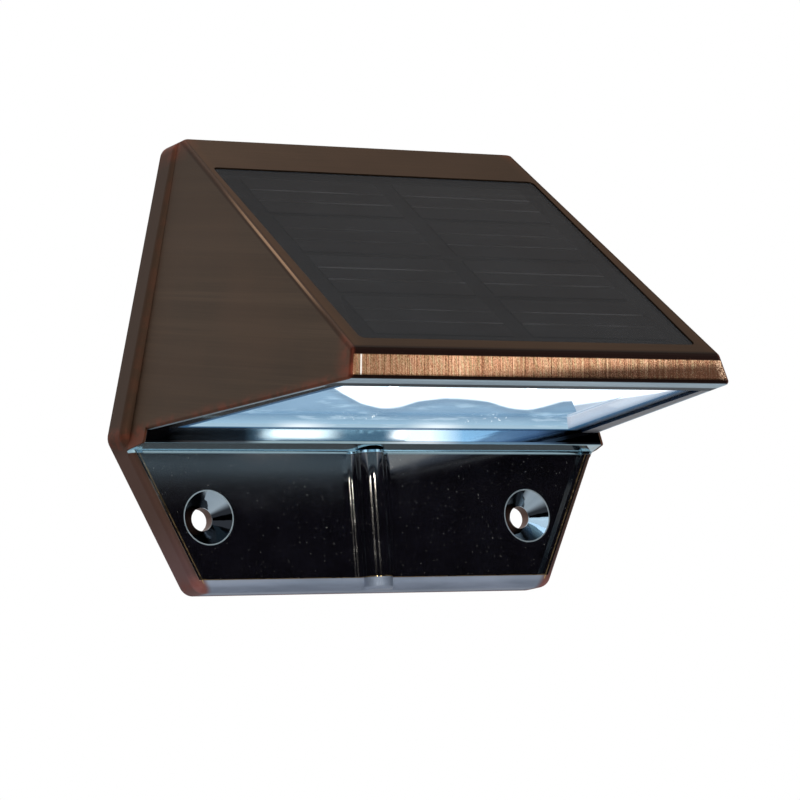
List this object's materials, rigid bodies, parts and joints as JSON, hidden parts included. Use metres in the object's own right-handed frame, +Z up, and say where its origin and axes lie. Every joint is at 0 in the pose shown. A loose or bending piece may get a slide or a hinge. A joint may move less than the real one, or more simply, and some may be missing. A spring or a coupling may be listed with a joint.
{
  "type": "solar fence light",
  "caption": "Wall-mounted solar fence light: sloping plated hood with a solar panel on top, a lit lens underneath and a lower plate with two screw holes.",
  "frame": {"origin": "on the wall plane, midway between the two wall screw holes", "axes": "+Z up, +X to the right as seen from in front, -Y out from the wall"},
  "size_m": [0.1136, 0.0766, 0.0934],
  "materials": {
    "bronze_plating": "dark brushed bronze plating over a moulding, worn to copper at the edges",
    "pad_foam": "matt foam tape",
    "panel_board": "black laminate",
    "silicon": "dark grey-black silicon",
    "silver_strip": "thin silver strip",
    "clear_cover": "clear gloss resin",
    "black_plastic": "fine satin black",
    "clear_lens": "clear gloss",
    "seal_rubber": "matt",
    "reflector": "silvered, soft gloss",
    "screw_steel": "plated steel",
    "white_board": "white solder mask",
    "led_phosphor": "lit, cool white",
    "cell_steel": "nickel-plated can",
    "cell_sleeve": "shrink sleeve, plain",
    "tinned_contact": "tinned spring steel",
    "green_board": "green solder mask",
    "chip_epoxy": "moulded epoxy",
    "ferrite": "shielded ferrite",
    "switch_shell": "pressed tinplate",
    "white_plastic": "satin",
    "lead_insulation": "PVC insulation"
  },
  "bodies": {
    "light": {"housing": "bronze_plating", "panel_pad": "pad_foam", "panel_board": "panel_board", "solar_cells": "silicon", "cell_busbars": "silver_strip", "panel_cover": "clear_cover", "lens_frame": "black_plastic", "light_lens": "clear_lens", "lens_gasket": "seal_rubber", "reflector_tray": "reflector", "tray_screws": "screw_steel", "led_board": "white_board", "leds": "led_phosphor", "rear_cover": "black_plastic", "rear_gasket": "seal_rubber", "rear_cover_screws": "screw_steel", "battery_cell": "cell_steel", "battery_sleeve": "cell_sleeve", "contact_plate": "tinned_contact", "spring_contact": "tinned_contact", "control_board": "green_board", "board_screws": "screw_steel", "controller_chip": "chip_epoxy", "inductor": "ferrite", "board_resistors": "chip_epoxy", "switch_body": "switch_shell", "led_leads": "lead_insulation", "panel_leads": "lead_insulation"},
    "door": {"battery_door": "black_plastic", "door_gasket": "seal_rubber", "door_screws": "screw_steel"},
    "slider": {"switch_slider": "white_plastic"}
  },
  "joints": [
    {"name": "switch_slide", "type": "slide", "parent": "light", "child": "slider", "axis": [1, 0, 0], "range_m": [0, 0.002]},
    {"name": "door_lift_off", "type": "slide", "parent": "light", "child": "door", "axis": [0, 1, 0], "range_m": [0, 0.03]}
  ]
}
